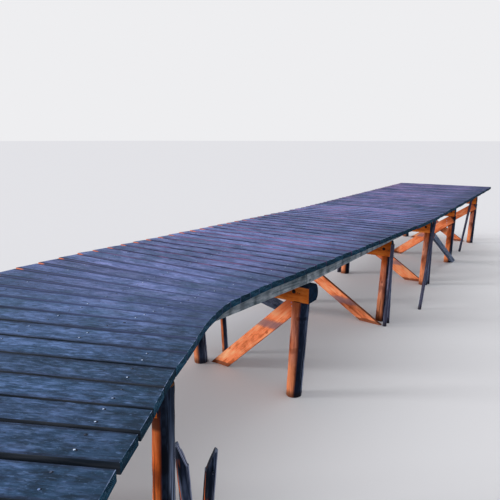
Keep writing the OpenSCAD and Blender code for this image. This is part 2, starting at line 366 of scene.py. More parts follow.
# %% Helpers: a tree and what it reads
class Tree:
    def __init__(self, name):
        self.material = bpy.data.materials.new(name)
        self.material.use_nodes = True
        self.tree = self.material.node_tree
        self.shader = self.tree.nodes["Principled BSDF"]

    def set_input(self, socket, value):
        if isinstance(value, bpy.types.NodeSocket):
            self.tree.links.new(value, socket)
        else:
            socket.default_value = value

    def node(self, kind, *numbered, **named):
        new = self.tree.nodes.new("ShaderNode" + kind)
        for number, value in enumerate(numbered):
            self.set_input(new.inputs[number], value)
        for name, value in named.items():
            self.set_input(new.inputs[name.replace("_", " ")], value)
        return new

    def map(self, name, first, second, shift=(0, 0)):
        uv = self.node("UVMap")
        uv.uv_map = name
        return self.node("Mapping", Vector=uv.outputs["UV"], Location=(*shift, 0),
                         Scale=(first, second, 1)).outputs[0]

    def spot(self, *scale):
        point = self.node("TexCoord").outputs["Object"]
        return self.node("Mapping", Vector=point, Scale=scale).outputs[0]

    def part(self, vector, axis):
        return self.node("SeparateXYZ", Vector=vector).outputs[axis]

    def coordinate(self, axis):
        return self.part(self.node("TexCoord").outputs["Object"], axis)

    def attribute(self, name):
        new = self.node("Attribute")
        new.attribute_name = name
        return new.outputs["Fac"]

    def facing(self, *direction):
        new = self.node("VectorMath", self.node("TexCoord").outputs["Normal"], direction)
        new.operation = "DOT_PRODUCT"
        return new.outputs["Value"]


print("a tree reads maps, coordinates, stored values and facing")

# %% [markdown]
# ## A small kit for materials: what is made of it
# The other steps turn such readings into colour: a noise stretched along the grain, a soft mask
# between two values, a ramp, and a tone laid over another by a mask and a strength. `close` hands
# colour and bump to the shader. What is the same all over a surface, such as its roughness, is set
# there too and needs no node.

# %% Helpers: the steps of a finish
class Finish(Tree):
    def noise(self, vector, detail=3, roughness=0.6, distortion=0):
        return self.node("TexNoise", Vector=vector, Scale=1, Detail=detail, Roughness=roughness,
                         Distortion=distortion).outputs["Fac"]

    def grain_noise(self, along, across, **settings):
        return self.noise(self.map("grain", along, across), **settings)

    def maths(self, operation, *values):
        new = self.node("Math", *values)
        new.operation = operation
        return new.outputs[0]

    def product(self, first, second):
        return self.maths("MULTIPLY", first, second)

    def weighted(self, value, weight, rest):
        return self.maths("MULTIPLY_ADD", value, weight, rest)

    def mask(self, value, low, high):
        new = self.node("MapRange", Value=value, From_Min=low, From_Max=high)
        new.interpolation_type = "SMOOTHSTEP"
        return new.outputs["Result"]

    def ramp(self, value, *stops):
        new = self.node("ValToRGB", Fac=value)
        while len(new.color_ramp.elements) < len(stops):
            new.color_ramp.elements.new(0.5)
        for element, (position, tone) in zip(new.color_ramp.elements, stops):
            element.position = position
            element.color = tone
        return new.outputs["Color"]

    def mix(self, share, first, second, blend="MIX"):
        new = self.node("Mix")
        new.data_type = "RGBA"
        new.blend_type = blend
        for number, value in ((0, share), (6, first), (7, second)):
            self.set_input(new.inputs[number], value)
        return new.outputs[2]

    def over(self, body, tone, share, strength):
        return self.mix(self.product(share, strength), body, tone)

    def own_tone(self, body, strength):
        own = self.weighted(self.attribute("tone"), strength, 1.0)
        return self.mix(1.0, body, own, "MULTIPLY")

    def close(self, body, height, roughness=0.75, bump=0.35, depth=0.004, gloss=0.2):
        relief = self.node("Bump", Height=height, Strength=bump, Distance=depth)
        self.set_input(self.shader.inputs["Base Color"], body)
        self.set_input(self.shader.inputs["Normal"], relief.outputs[0])
        self.set_input(self.shader.inputs["Roughness"], roughness)
        self.set_input(self.shader.inputs["Specular IOR Level"], gloss)
        return self.material


print("steps of a finish:", len([step for step in vars(Finish) if step[0] != "_"]))

# %% [markdown]
# ## Knots and splits
# A knot is a dark disc where a branch grew. Its places are the cells of a Voronoi pattern, and only
# a share of them are chosen, by the chance colour that each cell has. A split is a thin dark line
# along the grain, which opens towards a timber's ends because the wood dries fastest there.

# %% Helpers: knots and splits
KNOT_RIM = (0.14, 0.07)
SPLIT_TONE = colour(12, 16, 24)
SPLITS_OPEN = (0.5, 0.02)
SPLITS_ELSEWHERE = 0.25


def knot_mask(finish, share):
    cell = finish.node("TexVoronoi", Vector=finish.map("grain", 5.5, 7), Scale=1)
    cell.voronoi_dimensions = "2D"
    chosen = finish.mask(finish.part(cell.outputs["Color"], 0), 1 - share, 1.02 - share)
    return finish.product(finish.mask(cell.outputs["Distance"], *KNOT_RIM), chosen)


def split_mask(finish):
    split = finish.mask(finish.grain_noise(1.3, 130, detail=2), 0.36, 0.30)
    near_end = finish.mask(finish.attribute("end"), *SPLITS_OPEN)
    return finish.product(split, finish.maths("MAXIMUM", near_end, SPLITS_ELSEWHERE))


print("splits open over the last", SPLITS_OPEN[0], "m of a timber")

# %% [markdown]
# ## Weathered wood
# Old timber is a mix of tones: broad clouds, blotches, streaks along the grain and fine fibres.
# Four noises, each stretched along the grain at its own scale, are added up and coloured by a ramp
# of three shades. Stretched photos of wood would repeat from board to board, while noises never do.
# The blotches, fibres and splits also go into the bump.

# %% Helper: wood
def wood(finish, tones, mottle=(5, 16), streaks=(2.2, 70), fibres=240, spread=0.09, tone=0.14,
         knots=0.25, splits=0.8):
    dark, middle, light = tones
    patch = finish.grain_noise(*mottle, detail=4, roughness=0.65)
    cloud = finish.grain_noise(1.2, 5, detail=2)
    streak = finish.grain_noise(*streaks, roughness=0.65)
    fibre = finish.grain_noise(5, fibres, roughness=0.7, distortion=0.2)
    value = finish.product(fibre, 0.2)
    for layer, weight in ((streak, 0.25), (cloud, 0.2), (patch, 0.35)):
        value = finish.weighted(layer, weight, value)
    body = finish.ramp(value, (0.5 - spread, dark), (0.5, middle), (0.5 + spread, light))
    body = finish.own_tone(body, tone)
    body = finish.over(body, dark, knot_mask(finish, knots), 0.75)
    split = split_mask(finish)
    body = finish.over(body, SPLIT_TONE, split, splits)
    height = finish.maths("SUBTRACT", finish.weighted(patch, 0.4, fibre), split)
    return body, height, patch


print("wood mixes four noises and three shades")

# %% [markdown]
# ## The tops of the deck boards
# From above, an old deck board is silver-blue, with lilac and teal patches, dark smears and small
# pale scratches. The boards of the near stretch are darker, with shorter marks, and their right
# ends are damp. Each of these is a tone laid over the wood by its own noise, and `near` says how
# far a point belongs to the near stretch, so that one material serves the whole deck. A dark rim
# along both edges of a board, partly dirt and partly painted shade from the gaps, keeps the boards
# apart to the eye.

# %% Helpers: marks on the deck
def lilac_and_teal(finish, body, near):
    cloud = finish.noise(finish.spot(2.3, 2.3, 1), detail=4, roughness=0.65)
    lilac = finish.mix(near, colour(112, 118, 178), colour(78, 104, 150))
    body = finish.over(body, colour(44, 82, 104), finish.mask(cloud, 0.50, 0.64), 0.35)
    return finish.over(body, lilac, finish.mask(cloud, 0.48, 0.36), 0.28)


def damp_right_ends(finish, body, near, patch):
    along = finish.attribute("along")
    soaked = finish.weighted(near, 0.1, patch)
    body = finish.over(body, colour(24, 54, 76), finish.mask(along, 0.5, 0.0), soaked)
    damp = finish.product(finish.mask(along, 0.95, 0.15), near)
    blotch = finish.mask(finish.grain_noise(9, 24, detail=4, roughness=0.65), 0.55, 0.38)
    return finish.over(body, colour(16, 34, 50), blotch, finish.product(damp, 0.7))


def smears(finish, body, near):
    smear = finish.grain_noise(13, 50, detail=4)
    pale = finish.mix(near, colour(140, 152, 212), colour(116, 146, 196))
    pale_strength = finish.weighted(near, -0.15, 0.5)
    body = finish.over(body, colour(30, 48, 76), finish.mask(smear, 0.47, 0.33), 0.55)
    return finish.over(body, pale, finish.mask(smear, 0.56, 0.72), pale_strength)


def specks_and_scratches(finish, body, near):
    speck = finish.mask(finish.grain_noise(14, 44), 0.35, 0.27)
    body = finish.over(body, colour(14, 26, 44), speck, 0.7)
    scratch = finish.grain_noise(26, 75, detail=4, roughness=0.7)
    pale = finish.mix(near, colour(146, 156, 214), colour(112, 146, 198))
    body = finish.over(body, colour(20, 38, 58), finish.mask(scratch, 0.44, 0.34), 0.45)
    return finish.over(body, pale, finish.mask(scratch, 0.58, 0.70), 0.45)


print("marks: patches, damp ends, smears, specks and scratches")

# %% Finish: top of the deck
INTO_NEAR_STRETCH = (-3.2, -5.2)
BOARD_RIM_DIRT_AND_SHADE = (0.074, 0.083)


def deck_top():
    finish = Finish("silvered deck board")
    near = finish.mask(finish.coordinate("X"), *INTO_NEAR_STRETCH)
    body, height, patch = wood(finish, shades((66, 84, 130), (96, 111, 162), (138, 148, 208)),
                               streaks=(5, 60), spread=0.075, tone=0.25)
    near_body = wood(finish, shades((26, 53, 80), (53, 82, 118), (94, 122, 172)),
                     mottle=(9, 22), streaks=(12, 60), spread=0.07, tone=0.18)[0]
    body = finish.mix(near, body, near_body)
    body = lilac_and_teal(finish, body, near)
    body = damp_right_ends(finish, body, near, patch)
    body = smears(finish, body, near)
    body = specks_and_scratches(finish, body, near)
    # Dark rim along both long edges of a board: dirt and painted shade from the gaps.
    rim_dirt_and_shade = finish.mask(finish.maths("ABSOLUTE", finish.attribute("across")), *BOARD_RIM_DIRT_AND_SHADE)
    body = finish.over(body, colour(24, 30, 52), rim_dirt_and_shade, finish.weighted(near, -0.42, 0.92))
    return finish.close(body, height, roughness=0.7, gloss=0.15)


DECK_TOP = deck_top()
print(DECK_TOP.name, len(DECK_TOP.node_tree.nodes), "nodes")

# %% [markdown]
# ## The sides of the deck boards
# In the gaps the boards keep some red-brown, with painted low sunlight on it, which shows as thin
# warm lines from the side. Painted shade darkens it towards the right ends and makes it slate in
# the near stretch, and the tight gaps of the bend are painted paler against their shade. The last
# few centimetres at the left ends get painted sunlight. All of that is laid on by a point's place
# along the jetty and along its board, so it needs no lamp of its own.

# %% Finish: sides of the boards
PAST_NEAR_STRETCH = (-4.6, -3.2)
BEND_STARTS = (-4.9, -4.5)
BEND_ENDS = (-3.0, -3.4)
LIGHT_FADES = (0.2, -1.6)
LIT_TIP = (2.07, 2.12)


def deck_side():
    finish = Finish("deck board side")
    along_jetty = finish.coordinate("X")
    along_board = finish.attribute("along")
    patch = finish.grain_noise(2.2, 30)
    own = finish.weighted(finish.attribute("tone"), 0.08, patch)
    # Warm red-brown sides: the sawn wood's own colour, with painted low sunlight.
    warm = finish.ramp(own, (0.42, colour(50, 52, 84)), (0.62, colour(150, 116, 160)))
    # Painted shade: darker towards the right ends.
    warm = finish.over(warm, colour(44, 52, 80), finish.mask(along_board, 0.7, 0.1), 0.7)
    # Painted shade: slate sides in the near stretch.
    slate = finish.ramp(patch, (0.4, colour(26, 36, 48)), (0.6, colour(60, 66, 76)))
    body = finish.mix(finish.mask(along_jetty, *PAST_NEAR_STRETCH), slate, warm)
    # Painted light: the sides in the tight gaps of the bend are paler, against their shade.
    bend = finish.product(finish.mask(along_jetty, *BEND_STARTS),
                          finish.mask(along_jetty, *BEND_ENDS))
    body = finish.over(body, colour(84, 96, 136), bend, 0.85)
    # Painted sunlight on the last few centimetres at the left ends.
    tip = finish.mask(finish.weighted(patch, 0.08, along_board), *LIT_TIP)
    lit = finish.weighted(finish.mask(along_jetty, *LIGHT_FADES), 0.75, 0.15)
    body = finish.over(body, colour(236, 138, 100), tip, lit)
    return finish.close(body, patch, roughness=0.85, gloss=0.1)


DECK_SIDE = deck_side()
print(DECK_SIDE.name, len(DECK_SIDE.node_tree.nodes), "nodes")

# %% [markdown]
# ## Sawn ends and worn edges
# A sawn end shows growth rings round a heart that lies off its middle, and the ends of deck boards
# have chipped, pale flecks, most of them near the top. The rings are a Wave texture on the section
# map, with a patchy noise added. The worn edge above such an end is patchy and pale as well: wear,
# with a painted highlight where it faces up.

# %% Finishes: sawn ends and worn edges
RINGS = 50


def flecked(finish, body, fleck):
    chip = finish.mask(finish.noise(finish.map("section", 90, 60), roughness=0.7), 0.55, 0.68)
    top = finish.mask(finish.part(finish.map("section", 1, 1), "Y"), -0.02, 0.022)
    body = finish.over(body, fleck, chip, finish.weighted(top, 0.6, 0.2))
    return finish.own_tone(body, 0.35)


def sawn_end(name, dark, light, heart=(0.02, 0.06), fleck=None):
    finish = Finish(name)
    patch = finish.noise(finish.map("section", 14, 14))
    ring = finish.node("TexWave", Vector=finish.map("section", 1, 1, heart), Scale=RINGS,
                       Distortion=3, Detail=2)
    ring.wave_type = "RINGS"
    ring.rings_direction = "SPHERICAL"
    rings = ring.outputs["Fac"]
    body = finish.ramp(finish.weighted(rings, 0.35, patch), (0.45, dark), (0.85, light))
    if fleck:
        body = flecked(finish, body, fleck)
    return finish.close(body, rings, roughness=0.85, depth=0.003, gloss=0.05)


def worn_edge_and_highlight():
    finish = Finish("worn and highlighted board edge")
    patch = finish.grain_noise(6, 20)
    # Pale: wear, and a painted highlight on the edge that faces up.
    body = finish.ramp(patch, (0.45, colour(40, 70, 98)), (0.64, colour(150, 166, 206)))
    return finish.close(body, patch, roughness=0.7)


DECK_END = sawn_end("deck board end", colour(3, 20, 34), colour(32, 72, 96),
                    fleck=colour(126, 156, 184))
WORN_EDGE_AND_HIGHLIGHT = worn_edge_and_highlight()
print(DECK_END.name, "and", WORN_EDGE_AND_HIGHLIGHT.name)

# %% [markdown]
# ## Warped boards
# Boards warp as they dry. In the main stretch the near edge of each stands a few millimetres proud
# of the board before it, which draws a fine line across the deck. Turning a whole board would lift
# it off its stringers, so only its upper points move: up at the near edge and down at the far one,
# on some boards more than on others.

# %% Helper: warp
WARP_FROM = 1.31
WARP_DEPTH = 0.035
WARP_SEED = 3
BOARD_HALF = 0.086


def warp(piece, owner, across, lift):
    points = points_of(piece.data)
    lifts = np.random.default_rng(WARP_SEED).uniform(0.6, 1.3, owner.max() + 1) * lift
    high = np.clip((points[:, 2] - WARP_FROM) / WARP_DEPTH, 0, 1)
    points[:, 2] -= high * lifts[owner] * across / BOARD_HALF
    piece.data.vertices.foreach_set("co", points.ravel())
    piece.data.update()


print("boards warp above", WARP_FROM, "m")

# %% [markdown]
# ## Trimmed ends
# Along the bend the board ends were sawn in place, in one smooth curve. The solids' ends step along
# straight chords. So a line is drawn through all their right ends, bulging out a little at the
# bend, and each end's points are moved along their board until they meet that line. A boolean cut
# would only shorten the boards, while this also lengthens those that fall short.

# %% Helpers: trim the right ends
BULGE_AT = (-4.81, -4.64, -4.47, -4.30, -4.19, -4.065, -3.94, -3.81)
BULGE = (0, 0.009, 0.019, 0.027, 0.036, 0.026, 0.006, 0)
RIGHT_END = 0.1
SLACK = 0.02


def crossing(start, way, other, other_way):
    gap = other - start
    cross = way[0] * other_way[1] - way[1] * other_way[0]
    first = (gap[0] * other_way[1] - gap[1] * other_way[0]) / cross
    second = (gap[0] * way[1] - gap[1] * way[0]) / cross
    return first, second


def lines_of_node(node):
    spare = copy_of(node, "spare")
    lines = middle_lines(spare)
    bpy.data.objects.remove(spare)
    return lines


def bulged(start, end):
    way = (end - start).normalized()
    return tuple((start - way * np.interp(start.x, BULGE_AT, BULGE)).xy)


def trim_ends(piece, lines, curve):
    points = points_of(piece.data)
    owner = timber_of(piece.data, lines)
    for number, (start, end) in enumerate(lines):
        way = np.array((end - start).normalized())
        mine = np.where(owner == number)[0]
        along = (points[mine] - np.array(start)) @ way
        for index in mine[along < RIGHT_END]:
            shifts = []
            for here, there in zip(curve[:-1], curve[1:]):
                shift, share = crossing(points[index, :2], way[:2], here, there - here)
                if -SLACK < share < 1 + SLACK:
                    shifts.append(shift)
            if shifts:
                points[index] += min(shifts, key=abs) * way
    piece.data.vertices.foreach_set("co", points.ravel())
    piece.data.update()


NEAR_BAYS = (1, 2)
curve = np.array(sorted(bulged(start, end) for bay in NEAR_BAYS
                        for start, end in lines_of_node("deck_bay_%d" % bay)))
print("points on the trimmed edge:", len(curve))

# %% [markdown]
# ## Deck boards
# Each board is a plank laid across the jetty. Its solid is a box, so it is cut along its length and
# across its width, and its edges are worn round. Then it is warped, hardly at all in the first bay,
# and bowed up and down. The boards of one bay stay one piece, as they are one node.

# %% Deck boards
FIRST_LIFT = 0.0012
LIFT = 0.004
board_lines = []
boards_of_bay = {}
for bay in BAYS:
    boards = copy_of("deck_bay_%d" % bay, "deck_boards_bay_%d" % bay)
    lines = middle_lines(boards)
    board_lines.append(lines)
    if bay in NEAR_BAYS:
        trim_ends(boards, lines, curve)
    cut_edges(boards, shortest=1.0, longest=3.0, cuts=35)
    cut_edges(boards, shortest=0.1, longest=0.25, cuts=4)
    wear_edges(boards, width=0.003)
    owner, across = lay_grain(boards, lines, seed=bay)
    warp(boards, owner, across, FIRST_LIFT if bay == 1 else LIFT)
    bow(boards, strength=0.003, size=0.5, direction="Z")
    sort_faces(boards, lines, (DECK_TOP, DECK_SIDE, DECK_END, WORN_EDGE_AND_HIGHLIGHT), face_of_board)
    place(boards, "deck_board", "deck_bay_%d" % bay)
    boards_of_bay[bay] = boards
    print(boards.name, len(lines), "boards", len(boards.data.polygons), "faces")

# %% [markdown]
# ## Stringers
# The stringers are long beams on edge under the boards. They are pale, with dark runs below each
# gap of the deck, a dark band along the top that is the painted shadow of the boards, and browner
# undersides. Painted runs would have to be placed one by one. But a point lies under a gap where
# its two nearest boards are equally far away, so half the difference of these two distances is
# stored on the mesh, and the shader turns it into a run with a frayed edge.

# %% Finish: stringers
def stringer_face():
    finish = Finish("weathered stringer")
    body, height, _ = wood(finish, shades((80, 98, 108), (142, 154, 164), (196, 204, 212)),
                           mottle=(7, 12), fibres=120)
    fray = finish.grain_noise(13, 6, detail=4)
    run = finish.mask(finish.weighted(fray, 0.16, finish.attribute("drip")), 0.135, 0.055)
    body = finish.over(body, colour(44, 56, 66), run, 0.62)
    # Dark band along the top of the face: painted shadow of the boards above.
    top = finish.mask(finish.part(finish.map("section", 1, 1), "Y"), 0.015, 0.065)
    body = finish.over(body, colour(26, 46, 58), top, 0.8)
    under = finish.mask(finish.facing(0, 0, -1), 0.5, 0.8)
    body = finish.over(body, colour(120, 92, 70), under, 0.6)
    return finish.close(body, height, roughness=0.8)


STRINGER_FACE = stringer_face()
STRINGER_END = sawn_end("stringer end", colour(60, 70, 74), colour(150, 158, 160), (0.01, 0.02))
print(STRINGER_FACE.name, "and", STRINGER_END.name)


# %% Stringers
def sawn_timber(node, name, slot, finishes, seed, cut, worn, bowed):
    piece = copy_of(node, name)
    lines = middle_lines(piece)
    cut_edges(piece, *cut)
    wear_edges(piece, worn)
    lay_grain(piece, lines, seed)
    bow(piece, *bowed)
    sort_faces(piece, lines, finishes)
    place(piece, slot, node)
    return piece, lines


def with_neighbours(groups, bay):
    return [line for group in groups[max(0, bay - 2):bay + 1] for line in group]


def distances(points, lines):
    away = []
    for start, end in lines:
        axis = np.array((end - start).normalized())
        offset = points - np.array(start)
        away.append(np.linalg.norm((offset - np.outer(offset @ axis, axis))[:, :2], axis=1))
    return np.sort(np.array(away), axis=0)


STRINGER_SEED = 20
stringer_lines = []
for bay in BAYS:
    beams, lines = sawn_timber(
        "stringers_bay_%d" % bay, "stringer_beams_bay_%d" % bay, "stringer",
        (STRINGER_FACE, STRINGER_END), STRINGER_SEED + bay,
        cut=(1.0, 4.5, 110), worn=0.005, bowed=(0.004, 0.4))
    nearest, next_nearest = distances(points_of(beams.data), with_neighbours(board_lines, bay))[:2]
    point_value(beams.data, "drip", (next_nearest - nearest) / 2)
    stringer_lines.append(lines)
    print(beams.name, len(lines), "beams")

# %% [markdown]
# ## Cap beams and braces
# The sawn fronts of the cap beams and the faces of the braces stay warm brown, with some dark
# blotches, while their tops and the sides that face the far end are darker, in painted shade. A
# brace also gets painted shade under the deck and at the far bents, has one paler band that is a
# painted shadow, and is dark at its foot. Both kinds share one function, because they are the same
# wood, and the marks of a brace are added where asked for.

# %% Finishes: cap beams and braces
BRACE_SHADE_UNDER_DECK = (0.72, 0.95)
FAR_BENTS = (1.0, 3.5)
SOAKED_FOOT = (0.075, 0.06)


def brace_marks(finish, body, dark, patch):
    # Painted shade: a brace darkens under the deck and at the far bents.
    head = finish.mask(finish.weighted(patch, 0.1, finish.coordinate("Z")), *BRACE_SHADE_UNDER_DECK)
    far = finish.product(finish.mask(finish.coordinate("X"), *FAR_BENTS), 0.5)
    body = finish.over(body, dark, finish.maths("MAXIMUM", head, far), 0.8)
    # The paler band is a painted shadow.
    painted_shadow_band = finish.mask(finish.weighted(patch, 0.06, finish.attribute("stain")), 0.09, 0.05)
    return finish.over(body, colour(134, 112, 120), painted_shadow_band, 0.76)


def warm_beam(name, tones, crown, foot, is_brace=False):
    finish = Finish(name)
    dark = tones[0]
    body, height, patch = wood(finish, tones, mottle=(5, 10), streaks=(3, 40), fibres=150,
                               spread=0.085, knots=0.14, splits=0.35)
    body = finish.over(body, dark, finish.mask(finish.grain_noise(3, 7), 0.48, 0.34), 0.42)
    if is_brace:
        body = brace_marks(finish, body, dark, patch)
    # Painted shade: the tops are darker.
    body = finish.mix(finish.mask(finish.facing(0, 0, 1), 0.4, 0.7), body, crown)
    # Painted shade: the sides that face the far end are darker.
    shade = finish.mask(finish.facing(0.98, -0.2, 0), 0.1, 0.6)
    body = finish.over(body, finish.mix(0.5, dark, crown), shade, 0.7)
    soaked = finish.mask(finish.weighted(patch, 0.05, finish.coordinate("Z")), *SOAKED_FOOT)
    body = finish.over(body, foot, soaked, 0.85)
    return finish.close(body, height, roughness=0.75, gloss=0.12)


CAP_FRONT = warm_beam("warm cap beam", shades((176, 80, 24), (232, 118, 42), (252, 148, 66)),
                      crown=colour(14, 30, 48), foot=colour(60, 36, 28))
# A cap beam's ends are dark navy: painted shade.
CAP_END = sawn_end("cap beam end", colour(1, 9, 22), colour(14, 40, 64), (0, 0))
BRACE_FACE = warm_beam("warm brace", shades((188, 90, 48), (250, 138, 88), (255, 184, 136)),
                       crown=colour(140, 80, 56), foot=colour(116, 64, 44), is_brace=True)
BRACE_END = sawn_end("brace end", colour(70, 40, 30), colour(170, 104, 70))
print(CAP_FRONT.name, "and", BRACE_FACE.name)

# %% Cap beams
CAP_SEED = 40
caps = {}
for bent in BENTS:
    caps[bent], _ = sawn_timber(
        "cap_beam_%d" % bent, "cap_log_%d" % bent, "cap", (CAP_FRONT, CAP_END), CAP_SEED + bent,
        cut=(1.0, 3.0, 30), worn=0.006, bowed=(0.006, 0.2))
print("cap beams:", len(caps))

# %% [markdown]
# ## Logs
# Piles and poles are round logs with the light painted on them: warm on the side towards the low
# light, slate in painted shade on the side away from it, with painted pale highlights low down.
# Lit and shaded sides are two kinds of wood, mixed by which way the surface faces, so the line
# between them stays put when a log is seen from elsewhere. Every log gets dark checks, which are
# long cracks that open as it dries, and a dark foot. What differs is given as options: a crown of
# painted shade and a glow of painted sunlight by height, grey far poles, or the veins of a rotten
# heart.

# %% Helpers: marks on logs
AWAY = (0.454, -0.891, 0)
GLOW_BELOW = 0.62


def crown_and_glow(finish, body, up, dark, crown, glow, crown_at):
    # Painted shade darkens the top, painted sunlight brightens the wood low down, and a dark ring
    # marks where that ends.
    body = finish.over(body, crown, finish.mask(up, *crown_at), 0.8)
    body = finish.over(body, glow, finish.mask(up, GLOW_BELOW, 0.4), 0.55)
    from_ring = finish.maths("ABSOLUTE", finish.maths("SUBTRACT", up, GLOW_BELOW))
    return finish.over(body, dark, finish.mask(from_ring, 0.05, 0.02), 0.45)


def rotten_heart(finish, body, up, heart):
    vein = finish.maths("SUBTRACT", finish.grain_noise(0.8, 14, detail=1), 0.5)
    vein = finish.mask(finish.maths("ABSOLUTE", vein), 0.02, 0.007)
    return finish.over(body, heart, vein, finish.mask(up, GLOW_BELOW, 0.5))


def painted_pale_highlights(finish, body, pale, pale_share):
    # Pale streaks low on the shaded side: painted highlight.
    streak = finish.mask(finish.grain_noise(1.6, 50), 0.42, 0.56)
    streak = finish.product(streak, finish.mask(finish.facing(*AWAY), 0.6, 0.9))
    low = finish.mask(finish.coordinate("Z"), 1.0, 0.45)
    return finish.over(body, pale, finish.product(streak, pale_share), low)


print("the shaded side of a log faces", AWAY)

# %% Finish: logs
GREY_WOOD = shades((44, 46, 62), (92, 94, 118), (150, 150, 182))
CHECK_TONE = colour(14, 12, 16)
FOOT_TONE = colour(28, 20, 20)
FOOT_FADES = (0.09, 0.02)


def round_log(name, ochre, rose, slate, pale, crown=None, glow=None, crown_at=(0.85, 1.2),
              ragged=0.3, grey_from=None, heart=None, checks=26, pale_share=0.8):
    finish = Finish(name)
    dark = ochre[0]
    body, height, _ = wood(finish, ochre, mottle=(3, 12), fibres=160, knots=0.35)
    rosy = wood(finish, rose, mottle=(3, 14), fibres=160, knots=0.3)[0]
    swing = finish.mask(finish.grain_noise(1.5, 2, detail=1), 0.42, 0.58)
    body = finish.mix(swing, body, rosy)
    # The slate wood is painted shade, for the side that faces away from the low light.
    shaded = wood(finish, slate, mottle=(2, 22), fibres=120)[0]
    up = finish.weighted(finish.grain_noise(4, 6), ragged, finish.coordinate("Z"))
    if crown:
        body = crown_and_glow(finish, body, up, dark, crown, glow, crown_at)
    if grey_from is not None:
        greyed = finish.mask(finish.coordinate("X"), grey_from, grey_from + 0.4)
        body = finish.mix(greyed, body, wood(finish, GREY_WOOD, mottle=(3, 14))[0])
        # On the far poles the painted shade is lightened towards grey-blue: painted sky light.
        shaded = finish.over(shaded, colour(104, 108, 140), greyed, 0.4)
    blotch = finish.mask(finish.grain_noise(3, 9, detail=4, roughness=0.65), 0.50, 0.34)
    body = finish.over(body, dark, blotch, 0.6)
    away = finish.weighted(finish.grain_noise(1.2, 9), 0.55, finish.facing(*AWAY))
    # Painted shade: the lit wood darkens towards the shaded side.
    body = finish.over(body, dark, finish.mask(away, 0.02, 0.2), 0.55)
    if heart:
        body = rotten_heart(finish, body, up, heart)
    body = finish.mix(finish.mask(away, 0.12, 0.42), body, shaded)
    body = painted_pale_highlights(finish, body, pale, pale_share)
    check = finish.mask(finish.grain_noise(0.9, checks, roughness=0.7), 0.38, 0.33)
    body = finish.over(body, CHECK_TONE, check, 0.8)
    body = finish.over(body, FOOT_TONE, finish.mask(finish.coordinate("Z"), *FOOT_FADES), 0.7)
    height = finish.maths("SUBTRACT", height, check)
    return finish.close(body, height, roughness=0.78, bump=0.5, depth=0.006, gloss=0.08)


print("a log's foot is dark below", FOOT_FADES[0], "m")

# %% [markdown]
# ## Piles
# A pile is a log on end, a little off plumb. Its solid is a prism with flat sides, so it is sliced
# level by level, bowed, and shaded smooth. The right pile of the second bent stands closest to the
# eye: it is deeper in colour, with a black side of painted shade and a sharp dark crown under the
# cap beam, the painted shadow of the deck.

# %% Finishes: piles
SLATE = shades((6, 12, 26), (24, 34, 54), (74, 88, 116))
LOG_FACE = round_log(
    "checked log",
    ochre=shades((96, 40, 18), (184, 84, 38), (218, 116, 56)),
    rose=shades((100, 52, 44), (170, 104, 84), (214, 142, 112)),
    slate=SLATE, pale=colour(150, 166, 200),
    crown=colour(160, 74, 24), glow=colour(246, 148, 96))
# Its slate side is painted deep shade, and its dark crown is the painted shadow of the deck.
NEAR_LOG = round_log(
    "checked near log",
    ochre=shades((120, 50, 18), (214, 100, 38), (240, 134, 64)),
    rose=shades((130, 56, 22), (206, 96, 44), (236, 132, 76)),
    slate=shades((3, 6, 14), (10, 16, 30), (48, 62, 86)), pale=colour(150, 166, 200),
    crown=colour(26, 20, 26), glow=colour(244, 136, 74), crown_at=(0.9, 0.93), ragged=0.06)
LOG_END = sawn_end("log end", colour(40, 30, 28), colour(140, 96, 70), (0, 0))
print(LOG_FACE.name, "and", NEAR_LOG.name)

# %% Piles
SLICE_FROM = 0.04
SLICE_STEP = 0.06
SMOOTH_BELOW = math.radians(40)


def slice_level(piece, slices):
    pick(piece)
    bpy.ops.object.mode_set(mode="EDIT")
    for step in range(slices):
        bpy.ops.mesh.select_all(action="SELECT")
        bpy.ops.mesh.bisect(plane_co=(0, 0, SLICE_FROM + SLICE_STEP * step), plane_no=(0, 0, 1))
    bpy.ops.object.mode_set(mode="OBJECT")


def logs(node, name, slot, finishes, seed, slices, bowed):
    piece = copy_of(node, name)
    lines = middle_lines(piece)
    slice_level(piece, slices)
    lay_grain(piece, lines, seed)
    bow(piece, *bowed)
    pick(piece)
    bpy.ops.object.shade_smooth_by_angle(angle=SMOOTH_BELOW)
    sort_faces(piece, lines, finishes)
    place(piece, slot, node)
    return lines


PILE_SEED = {"right": 60, "left": 70}
NEAREST_PILE = "right", 2
pile_lines = {}
for side in ("right", "left"):
    for bent in BENTS:
        face = NEAR_LOG if (side, bent) == NEAREST_PILE else LOG_FACE
        pile_lines[side, bent] = logs(
            "pile_%s_%d" % (side, bent), "log_%s_%d" % (side, bent), "pile", (face, LOG_END),
            PILE_SEED[side] + bent, slices=19, bowed=(0.007, 0.15))[0]
print("piles:", len(pile_lines))

# %% [markdown]
# ## Brace boards
# The braces are rough boards that cross behind and before the piles. Each bent's band of painted
# shadow stands at its own height, and a point's distance from it is stored on the mesh. The two
# boards that fall along the outside of the piles have gone grey, and their grey-blue is also the
# painted shade of boards that face away from the low light, so they get a plain finish of their
# own.

# %% Braces
BRACE_SEED = 90
SHADOW_BAND_HEIGHT = {1: 0.5, 2: 0.4, 3: 0.62, 4: 0.24, 5: 0.3, 6: 0.5, 7: 0.4}
braces = {}
for bent in BENTS:
    boards, lines = sawn_timber(
        "braces_%d" % bent, "brace_boards_%d" % bent, "brace", (BRACE_FACE, BRACE_END),
        BRACE_SEED + bent, cut=(0.6, 3.0, 24), worn=0.004, bowed=(0.004, 0.25))
    heights = points_of(boards.data)[:, 2]
    # The stored value is a point's height from the painted shadow band.
    point_value(boards.data, "stain", abs(heights - SHADOW_BAND_HEIGHT[bent]))
    braces[bent] = boards, lines
    print(boards.name, len(lines), "boards")


